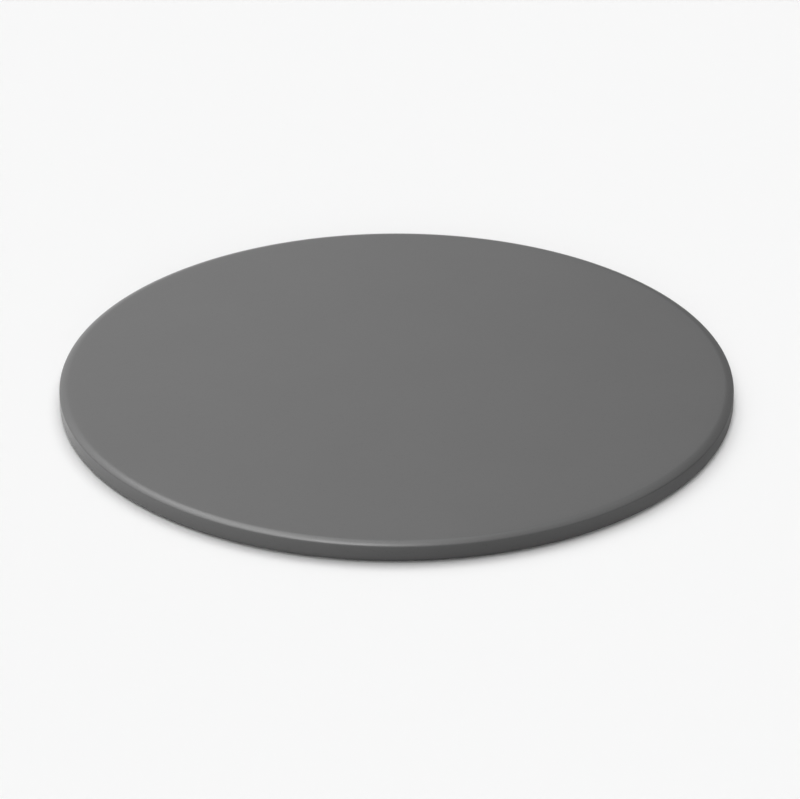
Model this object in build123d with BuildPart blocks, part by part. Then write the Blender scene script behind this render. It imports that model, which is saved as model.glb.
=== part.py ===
from build123d import *
import math
import os

# A round pizza stone: one pressed and fired ceramic disc, glazed on the top and round the rim,
# and bare underneath, where it stands on a low foot ring.
# Millimetres. +Z is up, the origin is the middle of the base, and the stone stands on Z = 0.

# The whole stone, glaze and foot included.
stone_diameter = 360.0
stone_thickness = 11.0

# The glazed rim: a wide soft crown leans down to a tight nose, and an upright wall ends in a
# rounded lower edge.
crown_radius = 8.5
crown_turn_deg = 33.0
nose_radius = 1.0
base_edge_radius = 2.6

# The glaze, fused to the body. It turns in under the rim and stops on a clean line.
glaze_thickness = 0.4
glaze_turn_in = 3.0
glaze_ground_clearance = 0.2

# The body under the glaze is bevelled where the glaze is round, in this many bevel corners.
crown_corners = 2
nose_corners = 1
base_edge_corners = 3

# The foot ring, pressed proud of the underside, which keeps the glaze off what the stone stands on.
foot_margin = 9.0
foot_width = 12.0
foot_side_run = 0.6

# Places that follow from the sizes above. Directions on the rim are in degrees, 0 outwards, 90 upwards
# and -90 downwards.
stone_radius = stone_diameter / 2
foot_height = glaze_thickness + glaze_ground_clearance
body_top = stone_thickness - glaze_thickness
crown_turn = math.radians(crown_turn_deg)
nose_start_deg = 90 - crown_turn_deg
crown_reach = (crown_radius - nose_radius) * math.sin(crown_turn) + nose_radius
crown_centre = (stone_radius - crown_reach, stone_thickness - crown_radius)
nose_centre = (
    stone_radius - nose_radius,
    crown_centre[1] + (crown_radius - nose_radius) * math.cos(crown_turn),
)
base_edge_centre = (stone_radius - base_edge_radius, glaze_ground_clearance + base_edge_radius)
glaze_line_radius = base_edge_centre[0] - glaze_turn_in
foot_outer_radius = stone_radius - glaze_thickness - foot_margin
foot_inner_radius = foot_outer_radius - foot_width


def bevel_corners(centre, radius, start, end, corners):
    """Returns the corners of a row of bevels that touch an arc from outside.

    Every bevel lies along the arc, and so do the straight faces that the row joins, so the corners
    alone stand proud of it. centre is (distance from the axis, height), and start and end are
    directions in degrees, 0 outwards and 90 upwards.
    """
    turn = (end - start) / corners
    reach = radius / math.cos(math.radians(turn / 2))
    points = []
    for corner in range(corners):
        angle = math.radians(start + turn * (corner + 0.5))
        points.append((centre[0] + reach * math.cos(angle), centre[1] + reach * math.sin(angle)))
    return points


# Where body and glaze meet, from the middle of the top to the glaze line underneath.
seat = [(0, body_top)]
seat += bevel_corners(crown_centre, crown_radius - glaze_thickness, 90, nose_start_deg, crown_corners)
seat += bevel_corners(nose_centre, nose_radius - glaze_thickness, nose_start_deg, 0, nose_corners)
seat += bevel_corners(base_edge_centre, base_edge_radius - glaze_thickness, 0, -90, base_edge_corners)
seat += [(glaze_line_radius, foot_height)]

# The body: pressed and fired ceramic, bare from the glaze line inwards.
with BuildPart() as body:
    with BuildSketch(Plane.XZ):
        with BuildLine():
            Polyline(
                *seat,
                (foot_outer_radius, foot_height),
                (foot_outer_radius - foot_side_run, 0),
                (foot_inner_radius + foot_side_run, 0),
                (foot_inner_radius, foot_height),
                (0, foot_height),
                close=True,
            )
        make_face()
    revolve(axis=Axis.Z)
body.part.label = "stone_body"

# The glaze: a thin glassy coat over the top, the rim and the turn under it. It melts into round
# arcs outside, and thins a little over each corner of the body.
with BuildPart() as glaze:
    with BuildSketch(Plane.XZ):
        with BuildLine():
            crown = CenterArc(crown_centre, crown_radius, 90, -crown_turn_deg)
            nose = CenterArc(nose_centre, nose_radius, nose_start_deg, -nose_start_deg)
            base_edge = CenterArc(base_edge_centre, base_edge_radius, 0, -90)
            Line((0, stone_thickness), crown @ 0)
            Line(nose @ 1, base_edge @ 0)
            Polyline(base_edge @ 1, (glaze_line_radius, glaze_ground_clearance), seat[-1])
            Polyline(*seat)
            Line(seat[0], (0, stone_thickness))
        make_face()
    revolve(axis=Axis.Z)
glaze.part.label = "glaze_coat"

os.makedirs("parts", exist_ok=True)
for piece in (body.part, glaze.part):
    export_step(piece, f"parts/{piece.label}.step")
    print(piece.label, "volume", round(piece.volume), "mm3")
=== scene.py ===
"""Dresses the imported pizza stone: satin grey glaze over a bare ceramic body, on a pale studio floor.

Everything is in metres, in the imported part's own frame: +Z is up and the stone stands on Z = 0.
"""

import logging
import math
from abc import ABC, abstractmethod
from collections.abc import Callable
from dataclasses import dataclass
from enum import Enum
from typing import ClassVar

import bmesh
import bpy
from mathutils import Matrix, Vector, noise


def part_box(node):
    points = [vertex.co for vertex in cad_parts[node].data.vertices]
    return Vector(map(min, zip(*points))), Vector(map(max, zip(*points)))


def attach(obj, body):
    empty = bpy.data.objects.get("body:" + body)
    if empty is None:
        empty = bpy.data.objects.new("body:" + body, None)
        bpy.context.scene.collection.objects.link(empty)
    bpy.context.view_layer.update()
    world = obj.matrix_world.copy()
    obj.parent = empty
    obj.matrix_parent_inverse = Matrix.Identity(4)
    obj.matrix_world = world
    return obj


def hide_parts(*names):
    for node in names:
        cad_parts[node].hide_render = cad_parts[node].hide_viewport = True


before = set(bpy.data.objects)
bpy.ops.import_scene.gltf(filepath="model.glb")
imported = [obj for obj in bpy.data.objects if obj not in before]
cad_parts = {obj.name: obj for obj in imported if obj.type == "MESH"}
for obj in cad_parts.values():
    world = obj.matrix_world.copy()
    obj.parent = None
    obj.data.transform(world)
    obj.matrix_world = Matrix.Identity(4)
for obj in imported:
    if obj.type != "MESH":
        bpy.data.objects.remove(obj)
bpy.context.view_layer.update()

MM = 0.001
SHARP_EDGE_ANGLE = 40.0
LOG = logging.getLogger("pizza_stone")

Point = tuple[float, float]
Span = tuple[float, float]
Colour = tuple[float, float, float, float]
Socket = bpy.types.NodeSocket
Sockets = bpy.types.NodeOutputs


class Body(Enum):
    """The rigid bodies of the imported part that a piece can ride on."""

    ROOT = "root"


class Slot(Enum):
    """The record's material slots."""

    BARE_CERAMIC = "bare_ceramic"
    GREY_GLAZE = "grey_glaze"


def grey(value: float) -> Colour:
    """Returns the opaque neutral colour of one linear value."""
    return (value, value, value, 1.0)


def arc(centre: Point, radius: float, start: float, end: float, steps: int) -> list[Point]:
    """Samples a circular arc in the plane of a profile.

    Args:
        centre: the arc's centre, as (distance from the axis, height).
        radius: the arc's radius.
        start: the angle of the first point in degrees, 0 outwards and 90 upwards.
        end: the angle of the last point in degrees.
        steps: how many equal steps the arc is cut into.

    Returns:
        The points along the arc, both ends included.
    """
    points = []
    for step in range(steps + 1):
        angle = math.radians(start + (end - start) * step / steps)
        points.append((centre[0] + radius * math.cos(angle), centre[1] + radius * math.sin(angle)))
    return points


@dataclass(frozen=True)
class EdgeProfile:
    """The stone's outline, from the middle of the top over the rim to the turn under it.

    Angles are in degrees.
    """

    radius: float
    thickness: float
    crown_radius: float = 8.5 * MM
    nose_radius: float = 1.0 * MM
    crown_turn: float = 33.0
    glaze: float = 0.4 * MM
    ground_clearance: float = 0.2 * MM
    base_edge_radius: float = 2.6 * MM
    turn_in: float = 3.0 * MM
    arc_steps: int = 10
    top_rings: int = 26
    ring_spacing_power: float = 0.8

    @property
    def crown_centre(self) -> Point:
        """Places the wide soft arc at the top edge.

        Returns:
            The arc's centre, as (distance from the axis, height).
        """
        lean = math.radians(self.crown_turn)
        reach = (self.crown_radius - self.nose_radius) * math.sin(lean) + self.nose_radius
        return (self.radius - reach, self.thickness - self.crown_radius)

    @property
    def nose_centre(self) -> Point:
        """Places the tighter arc that runs down into the wall.

        Returns:
            The arc's centre, as (distance from the axis, height).
        """
        lean = math.radians(self.crown_turn)
        rise = (self.crown_radius - self.nose_radius) * math.cos(lean)
        return (self.radius - self.nose_radius, self.crown_centre[1] + rise)

    @property
    def base_edge_centre(self) -> Point:
        """Returns the centre of the arc that turns the wall in under the rim."""
        return (self.radius - self.base_edge_radius, self.ground_clearance + self.base_edge_radius)

    @property
    def glaze_line(self) -> float:
        """Returns how far from the axis the glaze stops underneath."""
        return self.base_edge_centre[0] - self.turn_in

    @property
    def underside(self) -> float:
        """Returns how high the bare underside lies between the glaze and the foot ring."""
        return self.ground_clearance + self.glaze

    def outline(self, depth: float) -> list[Point]:
        """Draws the outline at one depth below the glazed surface.

        Args:
            depth: zero for the glaze's own surface, the glaze thickness for the body under it.

        Returns:
            Profile points from the axis on top, over the rim, to the end of the lower edge's arc.
        """
        top = self.thickness - depth
        shares = [(ring / self.top_rings) ** self.ring_spacing_power for ring in range(self.top_rings)]
        points = [(share * self.crown_centre[0], top) for share in shares]
        lean = 90.0 - self.crown_turn
        points += arc(self.crown_centre, self.crown_radius - depth, 90.0, lean, self.arc_steps)
        points += arc(self.nose_centre, self.nose_radius - depth, lean, 0.0, self.arc_steps)[1:]
        points += arc(self.base_edge_centre, self.base_edge_radius - depth, 0.0, -90.0, self.arc_steps)
        return points


@dataclass(frozen=True)
class Waver:
    """The small unevenness that pressing, glazing and firing leave.

    Rim and top only ever lose by it, so the stone stays within its true form.
    """

    edge: EdgeProfile
    rim_depth: float = 0.08 * MM
    rim_size: float = 55.0 * MM
    rim_reach: float = 30.0 * MM
    top_depth: float = 0.05 * MM
    top_size: float = 90.0 * MM
    line_swing: float = 0.55 * MM
    line_size: float = 13.0 * MM
    line_reach: float = 2.5 * MM

    @staticmethod
    def lumps(place: Vector, size: float) -> float:
        """Returns a slow random share, from 0 to 1, whose lumps are about as wide as the size."""
        return 0.5 + 0.5 * noise.noise(place / size)

    def shift(self, place: Vector) -> Vector:
        """Works out how far a point of either piece lies from the true form.

        Args:
            place: the point on the true form.

        Returns:
            The small way from there to the point's own place.
        """
        flat = Vector((place.x, place.y, 0.0))
        distance = flat.length
        if distance == 0.0:
            return Vector()
        outwards = flat / distance
        near_rim = max(0.0, 1.0 - (self.edge.radius - distance) / self.rim_reach)
        inwards = self.rim_depth * near_rim * self.lumps(flat, self.rim_size)
        sunk = self.top_depth * place.z / self.edge.thickness * self.lumps(flat, self.top_size)
        swing = 0.0
        if place.z <= self.edge.underside:
            near_line = max(0.0, 1.0 - abs(distance - self.edge.glaze_line) / self.line_reach)
            swing = self.line_swing * near_line * noise.noise(flat / self.line_size)
        return (swing - inwards) * outwards - Vector((0.0, 0.0, sunk))


def revolve(
    name: str, profile: list[Point], steps: int, shift: Callable[[Vector], Vector]
) -> bpy.types.Object:
    """Turns a closed profile about the Z axis into a mesh object.

    Args:
        name: the new object's name.
        profile: points as (distance from the axis, height), whose ends lie on the axis.
        steps: how many facets go round.
        shift: gives each point's own small offset from the true form.

    Returns:
        The new object, linked to the scene and shaded smooth but for its sharp edges.
    """
    mesh = bpy.data.meshes.new(name)
    build = bmesh.new()
    rings = []
    for distance, height in profile:
        if distance == 0.0:
            place = Vector((0.0, 0.0, height))
            rings.append([build.verts.new(place + shift(place))])
            continue
        ring = []
        for step in range(steps):
            angle = math.tau * step / steps
            place = Vector((distance * math.cos(angle), distance * math.sin(angle), height))
            ring.append(build.verts.new(place + shift(place)))
        rings.append(ring)
    for upper, lower in zip(rings, rings[1:]):
        for step in range(steps):
            following = (step + 1) % steps
            corners = [upper[step % len(upper)], lower[step % len(lower)]]
            if len(lower) > 1:
                corners.append(lower[following])
            if len(upper) > 1:
                corners.append(upper[following])
            build.faces.new(corners)
    bmesh.ops.recalc_face_normals(build, faces=build.faces)
    build.to_mesh(mesh)
    build.free()
    mesh.shade_smooth()
    mesh.set_sharp_from_angle(angle=math.radians(SHARP_EDGE_ANGLE))
    piece = bpy.data.objects.new(name, mesh)
    bpy.context.scene.collection.objects.link(piece)
    return piece


class NodeTree:
    """A small helper that adds and wires the nodes of one material, world or node group."""

    def __init__(self, tree: bpy.types.NodeTree, owner: bpy.types.ID | None = None) -> None:
        """Takes over a tree and empties it.

        Args:
            tree: the tree to fill.
            owner: the material that the tree belongs to, if it is one's.
        """
        self.tree = tree
        self.owner = owner
        self.tree.nodes.clear()

    def add(self, kind: str, **settings: object) -> bpy.types.Node:
        """Adds one node.

        Args:
            kind: the node's type name, without the leading ShaderNode.
            settings: attributes of the node, and values of its inputs by their socket names
                with underscores for spaces.

        Returns:
            The new node.
        """
        node = self.tree.nodes.new(kind if kind.startswith("Node") else "ShaderNode" + kind)
        for key, value in settings.items():
            if hasattr(node, key):
                setattr(node, key, value)
            else:
                node.inputs[key.replace("_", " ")].default_value = value
        return node

    def link(self, source: Socket, target: Socket) -> None:
        """Wires an output socket to an input socket."""
        self.tree.links.new(source, target)

    def feed(self, value: Socket | float, target: Socket) -> None:
        """Wires a socket to an input, or sets the input to a plain number.

        Args:
            value: the output socket or the number.
            target: the input that takes it.
        """
        if isinstance(value, Socket):
            self.link(value, target)
        else:
            target.default_value = value

    def math(self, operation: str, *values: Socket | float) -> Socket:
        """Adds one step of arithmetic.

        Args:
            operation: the step's kind, as the math node names it.
            values: the sockets and numbers that go into the node's inputs, in order.

        Returns:
            The result's socket.
        """
        node = self.add("Math", operation=operation)
        for value, target in zip(values, node.inputs):
            self.feed(value, target)
        return node.outputs[0]

    def noise(self, place: Socket, size: Socket, detail: float) -> Socket:
        """Adds a noise whose lumps are about as wide as a size.

        Args:
            place: gives each point of the surface in metres.
            size: gives the size in metres.
            detail: how many finer layers the noise has.

        Returns:
            The noise's output socket.
        """
        node = self.add("TexNoise", Detail=detail)
        self.link(place, node.inputs["Vector"])
        self.link(self.math("DIVIDE", 1.0, size), node.inputs["Scale"])
        return node.outputs[0]

    def scaled(self, colour: Colour, factor: Socket) -> Socket:
        """Makes a colour lighter or darker.

        Args:
            colour: the colour.
            factor: gives the factor, 1 for the colour as it is.

        Returns:
            The output socket.
        """
        node = self.add("VectorMath", operation="SCALE")
        node.inputs[0].default_value = colour[:3]
        self.link(factor, node.inputs["Scale"])
        return node.outputs[0]

    def parts(self, vector: Socket) -> Sockets:
        """Splits a vector.

        Args:
            vector: gives the vector.

        Returns:
            The outputs for its parts, by the names X, Y and Z.
        """
        node = self.add("SeparateXYZ")
        self.link(vector, node.inputs[0])
        return node.outputs

    def ramp(self, value: Socket, span: Span) -> Socket:
        """Climbs evenly from 0 to 1 over a span.

        Args:
            value: gives the place in the span.
            span: where the ramp is at 0 and where it is at 1.

        Returns:
            The output socket.
        """
        node = self.add("MapRange", From_Min=span[0], From_Max=span[1])
        self.link(value, node.inputs["Value"])
        return node.outputs["Result"]

    def fade(self, value: Socket, start: Socket | float, end: Socket | float) -> Socket:
        """Falls softly from 1 to 0 as a value grows.

        Args:
            value: gives the value.
            start: the value up to which the result stays at 1.
            end: the value from which on it stays at 0.

        Returns:
            The output socket.
        """
        node = self.add("MapRange", interpolation_type="SMOOTHSTEP", To_Min=1.0, To_Max=0.0)
        self.link(value, node.inputs["Value"])
        self.feed(start, node.inputs["From Min"])
        self.feed(end, node.inputs["From Max"])
        return node.outputs["Result"]

    def tinted(self, under: Socket, over: Colour, share: Socket) -> Socket:
        """Lays a share of one colour over another.

        Args:
            under: gives the colour underneath.
            over: the colour laid over it.
            share: gives how much the upper colour hides, from 0 to 1.

        Returns:
            The output socket.
        """
        node = self.add("Mix", data_type="RGBA")
        sockets = {socket.identifier: socket for socket in [*node.inputs, *node.outputs]}
        self.link(share, sockets["Factor_Float"])
        self.link(under, sockets["A_Color"])
        sockets["B_Color"].default_value = over
        return sockets["Result_Color"]

    def bumped(self, level: Socket) -> Socket:
        """Turns a height into a normal.

        Args:
            level: gives the height in metres.

        Returns:
            The output socket.
        """
        node = self.add("Bump", Strength=1.0, Distance=1.0)
        self.link(level, node.inputs["Height"])
        return node.outputs["Normal"]


class SurfaceEffect(ABC):
    """A look that more than one finish shares, kept as a node group with named inputs and one output.

    Every group takes a Place, a point of the stone in metres.
    """

    name: ClassVar[str]
    inputs: ClassVar[tuple[str, ...]]
    output: ClassVar[str]

    @abstractmethod
    def wire(self, nodes: NodeTree, given: Sockets) -> Socket:
        """Wires the effect inside its group.

        Args:
            nodes: the group's nodes.
            given: the group's inputs, by name.

        Returns:
            The socket that becomes the group's output.
        """

    def group(self) -> bpy.types.NodeTree:
        """Finds the effect's node group, or makes it on the first call.

        Returns:
            The node group.
        """
        made = bpy.data.node_groups.get(self.name)
        if made is not None:
            return made
        made = bpy.data.node_groups.new(self.name, "ShaderNodeTree")
        made.interface.new_socket("Place", in_out="INPUT", socket_type="NodeSocketVector")
        for name in self.inputs:
            made.interface.new_socket(name, in_out="INPUT", socket_type="NodeSocketFloat")
        made.interface.new_socket(self.output, in_out="OUTPUT", socket_type="NodeSocketFloat")
        nodes = NodeTree(made)
        given = nodes.add("NodeGroupInput")
        result = nodes.add("NodeGroupOutput")
        nodes.link(self.wire(nodes, given.outputs), result.inputs[self.output])
        return made

    def use(self, nodes: NodeTree, place: Socket, **values: float) -> Socket:
        """Adds the effect to a material.

        Args:
            nodes: the material's nodes.
            place: gives each point of the surface in metres.
            values: the group's inputs, by name.

        Returns:
            The effect's output socket.
        """
        node = nodes.add("Group")
        node.node_tree = self.group()
        nodes.link(place, node.inputs["Place"])
        for name, value in values.items():
            node.inputs[name].default_value = value
        return node.outputs[self.output]


class Clouds(SurfaceEffect):
    """Soft patches that differ a little: a factor round 1."""

    name = "clouds"
    inputs = ("Size", "Contrast")
    output = "Factor"
    detail: ClassVar[float] = 3.0
    gain: ClassVar[float] = 4.0

    def wire(self, nodes: NodeTree, given: Sockets) -> Socket:
        """Spreads a slow noise about its middle value.

        Args:
            nodes: the group's nodes.
            given: the group's inputs, by name.

        Returns:
            The socket that becomes the group's output.
        """
        patches = nodes.noise(given["Place"], given["Size"], self.detail)
        centred = nodes.math("SUBTRACT", patches, 0.5)
        spread = nodes.math("MULTIPLY", centred, given["Contrast"])
        return nodes.math("MULTIPLY_ADD", spread, self.gain, 1.0)


class Spots(SurfaceEffect):
    """Scattered spots of uneven size and outline: 1 on a spot and 0 between them."""

    name = "spots"
    inputs = ("Spacing", "Radius", "Share")
    output = "Mask"
    wobble_detail: ClassVar[float] = 1.0
    wobbles_per_cell: ClassVar[float] = 3.0
    wobble_share: ClassVar[float] = 0.35
    least_size_share: ClassVar[float] = 0.5
    solid_share: ClassVar[float] = 0.6

    def wobbled(self, nodes: NodeTree, given: Sockets) -> Socket:
        """Moves each point a little, so that the spots come out uneven.

        Args:
            nodes: the group's nodes.
            given: the group's inputs, by name.

        Returns:
            The socket of the moved point.
        """
        wobble = nodes.add("TexNoise", Detail=self.wobble_detail)
        nodes.link(given["Place"], wobble.inputs["Vector"])
        nodes.link(nodes.math("DIVIDE", self.wobbles_per_cell, given["Spacing"]), wobble.inputs["Scale"])
        centred = nodes.add("VectorMath", operation="SUBTRACT")
        centred.inputs[1].default_value = (0.5, 0.5, 0.5)
        nodes.link(wobble.outputs["Color"], centred.inputs[0])
        sized = nodes.add("VectorMath", operation="SCALE")
        nodes.link(centred.outputs[0], sized.inputs[0])
        nodes.link(nodes.math("MULTIPLY", given["Spacing"], self.wobble_share), sized.inputs["Scale"])
        moved = nodes.add("VectorMath", operation="ADD")
        nodes.link(given["Place"], moved.inputs[0])
        nodes.link(sized.outputs[0], moved.inputs[1])
        return moved.outputs[0]

    def wire(self, nodes: NodeTree, given: Sockets) -> Socket:
        """Keeps a share of the cells and draws one spot in each.

        Args:
            nodes: the group's nodes.
            given: the group's inputs, by name.

        Returns:
            The socket that becomes the group's output.
        """
        cells = nodes.add("TexVoronoi", feature="F1")
        nodes.link(self.wobbled(nodes, given), cells.inputs["Vector"])
        nodes.link(nodes.math("DIVIDE", 1.0, given["Spacing"]), cells.inputs["Scale"])
        chance = nodes.add("SeparateColor")
        nodes.link(cells.outputs["Color"], chance.inputs[0])
        kept = nodes.math("LESS_THAN", chance.outputs["Red"], given["Share"])
        reach = nodes.math("DIVIDE", given["Radius"], given["Spacing"])
        size = nodes.math("ADD", chance.outputs["Green"], self.least_size_share)
        own = nodes.math("MULTIPLY", reach, size)
        solid = nodes.math("MULTIPLY", own, self.solid_share)
        return nodes.math("MULTIPLY", nodes.fade(cells.outputs["Distance"], solid, own), kept)


class Relief(SurfaceEffect):
    """Small soft bumps: a height in metres."""

    name = "relief"
    inputs = ("Size", "Height")
    output = "Level"
    detail: ClassVar[float] = 2.0

    def wire(self, nodes: NodeTree, given: Sockets) -> Socket:
        """Scales a fine noise to the height."""
        bumps = nodes.noise(given["Place"], given["Size"], self.detail)
        return nodes.math("MULTIPLY", bumps, given["Height"])


class Ring(SurfaceEffect):
    """A soft band round the stone: 1 on its middle circle and 0 from its reach on."""

    name = "ring"
    inputs = ("Radius", "Level", "Reach")
    output = "Mask"

    def wire(self, nodes: NodeTree, given: Sockets) -> Socket:
        """Fades with the distance from the circle.

        Args:
            nodes: the group's nodes.
            given: the group's inputs, by name.

        Returns:
            The socket that becomes the group's output.
        """
        place = nodes.parts(given["Place"])
        flat = nodes.add("CombineXYZ")
        nodes.link(place["X"], flat.inputs["X"])
        nodes.link(place["Y"], flat.inputs["Y"])
        length = nodes.add("VectorMath", operation="LENGTH")
        nodes.link(flat.outputs[0], length.inputs[0])
        across = nodes.math("SUBTRACT", length.outputs["Value"], given["Radius"])
        above = nodes.math("SUBTRACT", place["Z"], given["Level"])
        squares = nodes.math("MULTIPLY_ADD", across, across, nodes.math("MULTIPLY", above, above))
        return nodes.fade(nodes.math("SQRT", squares), 0.0, given["Reach"])


CLOUDS, SPOTS, RELIEF, RING = Clouds(), Spots(), Relief(), Ring()


def start_material(name: str, **settings: float) -> tuple[NodeTree, Socket, bpy.types.Node]:
    """Makes a material with one principled shader.

    Args:
        name: the material's name.
        settings: values of the shader's inputs that are the same all over.

    Returns:
        The material's nodes, the socket that gives each point in metres, and the shader.
    """
    made = bpy.data.materials.new(name)
    made.use_nodes = True
    nodes = NodeTree(made.node_tree, made)
    shader = nodes.add("BsdfPrincipled", **settings)
    output = nodes.add("OutputMaterial")
    nodes.link(shader.outputs["BSDF"], output.inputs["Surface"])
    return nodes, nodes.add("TexCoord").outputs["Object"], shader


@dataclass(frozen=True)
class Speckles:
    """Scattered spots of one colour, which hide part of the colour under them.

    The share is that of the cells that hold a spot, and the cover is how much a spot hides.
    """

    spacing: float
    radius: float
    share: float
    colour: Colour
    cover: float

    def mask(self, nodes: NodeTree, place: Socket) -> Socket:
        """Returns the socket that is 1 on a spot and 0 between the spots."""
        return SPOTS.use(nodes, place, Spacing=self.spacing, Radius=self.radius, Share=self.share)

    def over(self, nodes: NodeTree, under: Socket, mask: Socket) -> Socket:
        """Returns the socket of the colour underneath with the spots laid over it."""
        return nodes.tinted(under, self.colour, nodes.math("MULTIPLY", mask, self.cover))


@dataclass(frozen=True)
class Glaze:
    """The fired-on grey glaze: satin, faintly mottled, with a slight orange peel and a few pinholes."""

    edge: EdgeProfile
    name: str = "grey_glaze"
    colour: Colour = (0.07, 0.07, 0.07, 1.0)
    roughness: float = 0.3
    refraction: float = 1.45
    cloud_size: float = 45.0 * MM
    cloud_contrast: float = 0.02
    sheen_size: float = 15.0 * MM
    sheen_contrast: float = 0.04
    fleck_spacing: float = 1.3 * MM
    fleck_radius: float = 0.35 * MM
    fleck_share: float = 0.45
    fleck_depth: float = 0.14
    # Lighter nose: partly the glaze thinning over the edge, partly a painted highlight along the rim.
    thin_glaze_and_highlight_reach: float = 2.4 * MM
    thin_glaze_and_highlight_gain: float = 0.1
    peel_size: float = 2.4 * MM
    peel_height: float = 0.016 * MM
    tooth_size: float = 0.5 * MM
    tooth_height: float = 0.003 * MM
    pinhole_spacing: float = 16.0 * MM
    pinhole_radius: float = 0.16 * MM
    pinhole_share: float = 0.5
    pinhole_depth: float = 0.05 * MM

    def material(self) -> bpy.types.Material:
        """Wires the glaze's material.

        Returns:
            The material.
        """
        nodes, place, shader = start_material(self.name, IOR=self.refraction)
        clouds = CLOUDS.use(nodes, place, Size=self.cloud_size, Contrast=self.cloud_contrast)
        flecks = SPOTS.use(
            nodes, place, Spacing=self.fleck_spacing, Radius=self.fleck_radius, Share=self.fleck_share
        )
        pinholes = SPOTS.use(
            nodes, place, Spacing=self.pinhole_spacing, Radius=self.pinhole_radius, Share=self.pinhole_share
        )
        # The rim's nose is painted lighter, partly for the thinner glaze there and partly as a painted
        # highlight.
        nose = self.edge.nose_centre
        thin_glaze_and_highlight = RING.use(nodes, place, Radius=nose[0], Level=nose[1], Reach=self.thin_glaze_and_highlight_reach)
        shade = nodes.math("MULTIPLY_ADD", flecks, -self.fleck_depth, clouds)
        shade = nodes.math("MULTIPLY_ADD", thin_glaze_and_highlight, self.thin_glaze_and_highlight_gain, shade)
        nodes.link(nodes.scaled(self.colour, shade), shader.inputs["Base Color"])
        sheen = CLOUDS.use(nodes, place, Size=self.sheen_size, Contrast=self.sheen_contrast)
        nodes.link(nodes.math("MULTIPLY", sheen, self.roughness), shader.inputs["Roughness"])
        peel = RELIEF.use(nodes, place, Size=self.peel_size, Height=self.peel_height)
        tooth = RELIEF.use(nodes, place, Size=self.tooth_size, Height=self.tooth_height)
        level = nodes.math("MULTIPLY_ADD", pinholes, -self.pinhole_depth, nodes.math("ADD", peel, tooth))
        nodes.link(nodes.bumped(level), shader.inputs["Normal"])
        return nodes.owner


@dataclass(frozen=True)
class BareCeramic:
    """The unglazed body underneath: warm, matt, speckled with grog and open-pored."""

    edge: EdgeProfile
    foot_middle: float
    foot_reach: float
    name: str = "bare_ceramic"
    colour: Colour = (0.62, 0.54, 0.43, 1.0)
    pale_grog: Speckles = Speckles(
        spacing=2.2 * MM, radius=0.62 * MM, share=0.35, colour=(0.78, 0.73, 0.63, 1.0), cover=0.55
    )
    dark_grog: Speckles = Speckles(
        spacing=3.4 * MM, radius=0.55 * MM, share=0.3, colour=(0.33, 0.23, 0.14, 1.0), cover=0.6
    )
    iron: Speckles = Speckles(
        spacing=9.0 * MM, radius=0.42 * MM, share=0.4, colour=(0.07, 0.045, 0.03, 1.0), cover=0.85
    )
    # Open pores: their darker colour is painted shade in the holes, and their mask also sinks them as bumps.
    shaded_pores: Speckles = Speckles(
        spacing=2.8 * MM, radius=0.34 * MM, share=0.4, colour=(0.4, 0.28, 0.18, 1.0), cover=0.5
    )
    pore_depth: float = 0.16 * MM
    flash: Colour = (0.4, 0.28, 0.18, 1.0)
    flash_cover: float = 0.55
    flash_reach: float = 4.5 * MM
    worn: Colour = (0.7, 0.64, 0.54, 1.0)
    worn_cover: float = 0.6
    roughness: float = 0.9
    foot_roughness: float = 0.76
    cloud_size: float = 32.0 * MM
    cloud_contrast: float = 0.05
    grain_size: float = 0.7 * MM
    grain_contrast: float = 0.08
    grain_height: float = 0.03 * MM

    def material(self) -> bpy.types.Material:
        """Wires the bare ceramic's material.

        Returns:
            The material.
        """
        nodes, place, shader = start_material(self.name)
        clouds = CLOUDS.use(nodes, place, Size=self.cloud_size, Contrast=self.cloud_contrast)
        grain = CLOUDS.use(nodes, place, Size=self.grain_size, Contrast=self.grain_contrast)
        shaded_pores = self.shaded_pores.mask(nodes, place)
        foot = RING.use(nodes, place, Radius=self.foot_middle, Level=0.0, Reach=self.foot_reach)
        stain = RING.use(
            nodes, place, Radius=self.edge.glaze_line, Level=self.edge.underside, Reach=self.flash_reach
        )
        colour = nodes.scaled(self.colour, nodes.math("MULTIPLY", clouds, grain))
        colour = nodes.tinted(colour, self.worn, nodes.math("MULTIPLY", foot, self.worn_cover))
        colour = self.pale_grog.over(nodes, colour, self.pale_grog.mask(nodes, place))
        colour = self.dark_grog.over(nodes, colour, self.dark_grog.mask(nodes, place))
        colour = nodes.tinted(colour, self.flash, nodes.math("MULTIPLY", stain, self.flash_cover))
        colour = self.iron.over(nodes, colour, self.iron.mask(nodes, place))
        # Painted shade inside the open pores.
        colour = self.shaded_pores.over(nodes, colour, shaded_pores)
        nodes.link(colour, shader.inputs["Base Color"])
        smoother = nodes.math("MULTIPLY_ADD", foot, self.foot_roughness - self.roughness, self.roughness)
        nodes.link(nodes.math("MULTIPLY", smoother, grain), shader.inputs["Roughness"])
        level = RELIEF.use(nodes, place, Size=self.grain_size, Height=self.grain_height)
        level = nodes.math("MULTIPLY_ADD", shaded_pores, -self.pore_depth, level)
        nodes.link(nodes.bumped(level), shader.inputs["Normal"])
        return nodes.owner


@dataclass
class GlazeCoat:
    """The closed glaze shell over the top, the rim and the turn under it."""

    edge: EdgeProfile
    waver: Waver
    steps: int = 720
    bead_steps: int = 5

    def build(self) -> bpy.types.Object:
        """Builds the shell, with a rounded bead where the glaze stops.

        Returns:
            The shell as a mesh object.
        """
        edge = self.edge
        bead = arc((edge.glaze_line + edge.glaze, edge.underside), edge.glaze, -90.0, -180.0, self.bead_steps)
        inside = edge.outline(edge.glaze)
        return revolve("glaze", edge.outline(0.0) + bead + inside[::-1], self.steps, self.waver.shift)

    def dress(self, piece: bpy.types.Object) -> None:
        """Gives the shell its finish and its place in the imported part.

        Args:
            piece: the shell's mesh object.
        """
        piece.data.materials.append(Glaze(self.edge).material())
        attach(piece, Body.ROOT.value)
        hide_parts("glaze_coat")


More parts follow.
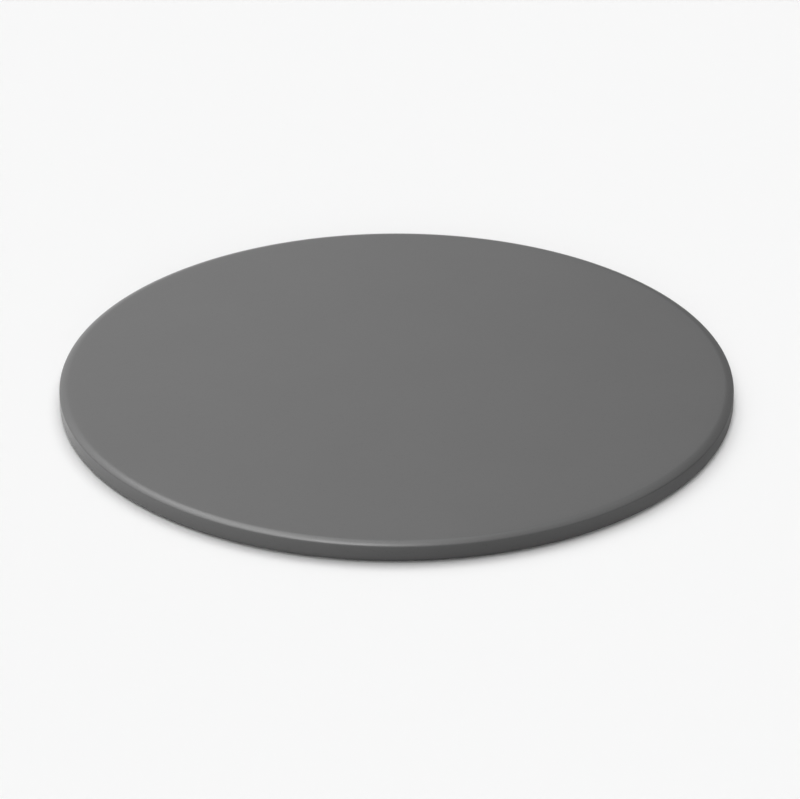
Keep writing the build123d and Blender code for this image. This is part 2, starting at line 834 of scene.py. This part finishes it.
@dataclass
class StoneBody:
    """The pressed and fired body, with its low foot ring."""

    edge: EdgeProfile
    waver: Waver
    foot_margin: float = 9.0 * MM
    foot_width: float = 12.0 * MM
    foot_side_run: float = 0.6 * MM
    foot_rounding: float = 0.25 * MM
    foot_wear_share: float = 0.62
    steps: int = 360

    @property
    def foot_outer(self) -> float:
        """Returns the foot ring's outer radius."""
        return self.edge.radius - self.edge.glaze - self.foot_margin

    def build(self) -> bpy.types.Object:
        """Builds the body, with a foot ring whose corners are softened.

        Returns:
            The body as a mesh object.
        """
        height = self.edge.underside
        outer, inner = self.foot_outer, self.foot_outer - self.foot_width
        run, soft = self.foot_side_run, self.foot_rounding
        profile = self.edge.outline(self.edge.glaze)
        profile += [
            (outer + soft, height),
            (outer - soft * run / height, height - soft),
            (outer - run + soft * run / height, soft),
            (outer - run - soft, 0.0),
            (inner + run + soft, 0.0),
            (inner + run - soft * run / height, soft),
            (inner + soft * run / height, height - soft),
            (inner - soft, height),
            (0.0, height),
        ]
        return revolve("body", profile, self.steps, self.waver.shift)

    def dress(self, piece: bpy.types.Object) -> None:
        """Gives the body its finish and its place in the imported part.

        Args:
            piece: the body's mesh object.
        """
        foot_middle = self.foot_outer - self.foot_width / 2
        finish = BareCeramic(self.edge, foot_middle, self.foot_width * self.foot_wear_share)
        piece.data.materials.append(finish.material())
        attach(piece, Body.ROOT.value)
        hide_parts("stone_body")


@dataclass(frozen=True)
class PhotoCamera:
    """The camera, set where the photograph's was. Pixels are counted in the photograph's own frame."""

    frame_width_px: float = 800.0
    frame_height_px: float = 799.0
    base_centre_px: Point = (396.59, 394.41)
    scale_px_per_m: float = 1866.0
    distance: float = 2.2
    elevation: float = 27.81
    sensor: float = 36.0
    clip: Span = (0.01, 200.0)

    def build(self) -> None:
        """Builds the camera, aimed so that the middle of the base falls on its pixel."""
        data = bpy.data.cameras.new("camera")
        data.sensor_width = self.sensor
        data.lens = self.scale_px_per_m * self.distance * self.sensor / self.frame_width_px
        data.clip_start, data.clip_end = self.clip
        camera = bpy.data.objects.new("camera", data)
        bpy.context.scene.collection.objects.link(camera)
        tilt = math.radians(self.elevation)
        back = Vector((0.0, -math.cos(tilt), math.sin(tilt)))
        up = Vector((0.0, math.sin(tilt), math.cos(tilt)))
        right_px = self.frame_width_px / 2 - self.base_centre_px[0]
        down_px = self.frame_height_px / 2 - self.base_centre_px[1]
        aim = Vector((right_px / self.scale_px_per_m, 0.0, 0.0)) - up * (down_px / self.scale_px_per_m)
        camera.location = back * self.distance
        camera.rotation_mode = "QUATERNION"
        camera.rotation_quaternion = (aim - camera.location).to_track_quat("-Z", "Y")
        bpy.context.scene.camera = camera


@dataclass(frozen=True)
class Softbox:
    """A far soft lamp, given by where its light comes from.

    Azimuth 0 is the camera's side and -90 the left. A strength of 1 shows a matt colour as written
    on a face turned to the lamp.
    """

    name: str
    azimuth: float
    elevation: float
    spread: float
    strength: float
    mirrored: bool = True

    def build(self) -> bpy.types.Object:
        """Builds the lamp.

        Returns:
            The lamp's object.
        """
        data = bpy.data.lights.new(self.name, "SUN")
        data.energy = self.strength * math.pi
        data.angle = math.radians(self.spread)
        lamp = bpy.data.objects.new(self.name, data)
        bpy.context.scene.collection.objects.link(lamp)
        turn, rise = math.radians(self.azimuth), math.radians(self.elevation)
        towards = Vector((math.sin(turn) * math.cos(rise), -math.cos(turn) * math.cos(rise), math.sin(rise)))
        lamp.rotation_mode = "QUATERNION"
        lamp.rotation_quaternion = towards.to_track_quat("Z", "Y")
        lamp.visible_glossy = self.mirrored
        return lamp


@dataclass(frozen=True)
class Studio:
    """The pale floor, the backdrop and the lamps."""

    backdrop: float = 0.9387
    floor_seen: float = 0.9387
    floor_bounce: float = 0.7
    fill: float = 0.15
    flag_depth: float = 0.75
    flag_left: Span = (-0.04, 0.1)
    flag_front: Span = (-0.1, 0.1)
    flag_top: Span = (0.75, 0.65)
    # Painted shade on the floor to the right of the stone, seen in the gloss alone.
    floor_gloss_shade_edge: Span = (0.135, 0.175)
    floor_gloss_shade_depth: float = 0.6
    floor_radius: float = 30.0
    floor_sides: int = 64
    keys: tuple[Softbox, ...] = (
        Softbox("overhead", -90.0, 83.0, 14.0, 0.18),
        Softbox("back_left", -150.0, 60.0, 40.0, 0.17),
        Softbox("back_left_low", -135.0, 45.0, 40.0, 0.12),
        Softbox("back", 180.0, 45.0, 40.0, 0.02),
        Softbox("back_low", 180.0, 45.0, 40.0, 0.09, mirrored=False),
        Softbox("back_right", 150.0, 60.0, 40.0, 0.27, mirrored=False),
        Softbox("front", 0.0, 45.0, 40.0, 0.11),
        Softbox("front_low", 0.0, 15.0, 30.0, 0.2, mirrored=False),
    )
    accents: tuple[Softbox, ...] = (
        Softbox("side_left", -80.0, 5.0, 24.0, 1.17, mirrored=False),
        Softbox("rim_left", -150.0, 55.0, 18.0, 0.06),
        Softbox("rim_middle", -120.0, 70.0, 18.0, 0.09),
        Softbox("rim_wide", -90.0, 75.0, 50.0, 0.17),
    )

    def build(self, stone: bpy.types.Collection) -> None:
        """Builds the floor, the backdrop and the lamps.

        Args:
            stone: holds the stone's pieces, which alone the accent lamps light.
        """
        for key in self.keys:
            key.build()
        for accent in self.accents:
            accent.build().light_linking.receiver_collection = stone
        self.build_world()
        self.build_floor()

    def build_world(self) -> None:
        """Makes the backdrop: pale where it is seen or mirrored, dimmer where it lights the stone.

        A grey flag stands low down at the back right, and shows in the gloss alone.
        """
        world = bpy.data.worlds.new("studio")
        world.use_nodes = True
        world.cycles.sampling_method = "NONE"
        bpy.context.scene.world = world
        nodes = NodeTree(world.node_tree)
        fill = nodes.add("Background", Color=grey(1.0), Strength=self.fill)
        shown = nodes.add("Background", Color=grey(self.backdrop))
        nodes.link(self.flagged(nodes), shown.inputs["Strength"])
        self.split_rays(nodes, fill, shown, "OutputWorld")

    def flagged(self, nodes: NodeTree) -> Socket:
        """Adds the backdrop's brightness: 1, but for what the grey flag takes from the gloss.

        Args:
            nodes: the world's nodes.

        Returns:
            The output socket.
        """
        direction = nodes.parts(nodes.add("TexCoord").outputs["Generated"])
        share = nodes.add("LightPath").outputs["Is Glossy Ray"]
        for axis, span in (("X", self.flag_left), ("Y", self.flag_front), ("Z", self.flag_top)):
            share = nodes.math("MULTIPLY", share, nodes.ramp(direction[axis], span))
        return nodes.math("MULTIPLY_ADD", share, -self.flag_depth, 1.0)

    @staticmethod
    def split_rays(nodes: NodeTree, bounced: bpy.types.Node, seen: bpy.types.Node, output: str) -> None:
        """Finishes a tree with one shader for what is seen and another for what lights the stone.

        The rays that see are those of the camera and those that gloss mirrors or glass lets through.

        Args:
            nodes: the tree to finish.
            bounced: the shader whose light reaches the stone.
            seen: the shader that is seen.
            output: the type name of the output node.
        """
        path = nodes.add("LightPath").outputs
        looking = nodes.math("MAXIMUM", path["Is Camera Ray"], path["Is Glossy Ray"])
        mix = nodes.add("MixShader")
        nodes.link(nodes.math("MAXIMUM", looking, path["Is Transmission Ray"]), mix.inputs[0])
        nodes.link(bounced.outputs[0], mix.inputs[1])
        nodes.link(seen.outputs[0], mix.inputs[2])
        nodes.link(mix.outputs[0], nodes.add(output).inputs["Surface"])

    def floor_with_painted_gloss_shade(self, nodes: NodeTree) -> Socket:
        """Adds the floor's seen colour, greyer in the gloss to the right of the stone: a painted shade that
        the stone's right wall mirrors.

        Args:
            nodes: the floor's nodes.

        Returns:
            The output socket.
        """
        place = nodes.parts(nodes.add("TexCoord").outputs["Object"])
        # Painted shade: the floor is greyer in the gloss to the right of the stone.
        right = nodes.ramp(place["X"], self.floor_gloss_shade_edge)
        share = nodes.math("MULTIPLY", nodes.add("LightPath").outputs["Is Glossy Ray"], right)
        level = nodes.math("MULTIPLY_ADD", share, -self.floor_gloss_shade_depth, 1.0)
        return nodes.scaled(grey(self.floor_seen), level)

    def build_floor(self) -> None:
        """Makes the pale floor that the stone stands on, a part of the stage."""
        build = bmesh.new()
        bmesh.ops.create_circle(build, cap_ends=True, segments=self.floor_sides, radius=self.floor_radius)
        mesh = bpy.data.meshes.new("floor")
        build.to_mesh(mesh)
        build.free()
        floor = bpy.data.objects.new("floor", mesh)
        bpy.context.scene.collection.objects.link(floor)
        made = bpy.data.materials.new("floor")
        made.use_nodes = True
        nodes = NodeTree(made.node_tree)
        bounce = nodes.add("BsdfDiffuse", Color=grey(self.floor_bounce))
        shown = nodes.add("BsdfDiffuse")
        nodes.link(self.floor_with_painted_gloss_shade(nodes), shown.inputs["Color"])
        self.split_rays(nodes, bounce, shown, "OutputMaterial")
        mesh.materials.append(made)


def main() -> None:
    """Builds the stone, the studio and the camera in order."""
    logging.basicConfig(level=logging.INFO, format="%(name)s: %(message)s")
    _, far_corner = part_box("glaze_coat")
    edge = EdgeProfile(radius=far_corner.x, thickness=far_corner.z)
    waver = Waver(edge)
    stone = bpy.data.collections.new("stone")
    for part in (GlazeCoat(edge, waver), StoneBody(edge, waver)):
        piece = part.build()
        part.dress(piece)
        stone.objects.link(piece)
        LOG.info("%s: %d faces", piece.name, len(piece.data.polygons))
    Studio().build(stone)
    PhotoCamera().build()
    bpy.context.scene.view_settings.view_transform = "Standard"


if __name__ == "__main__":
    main()
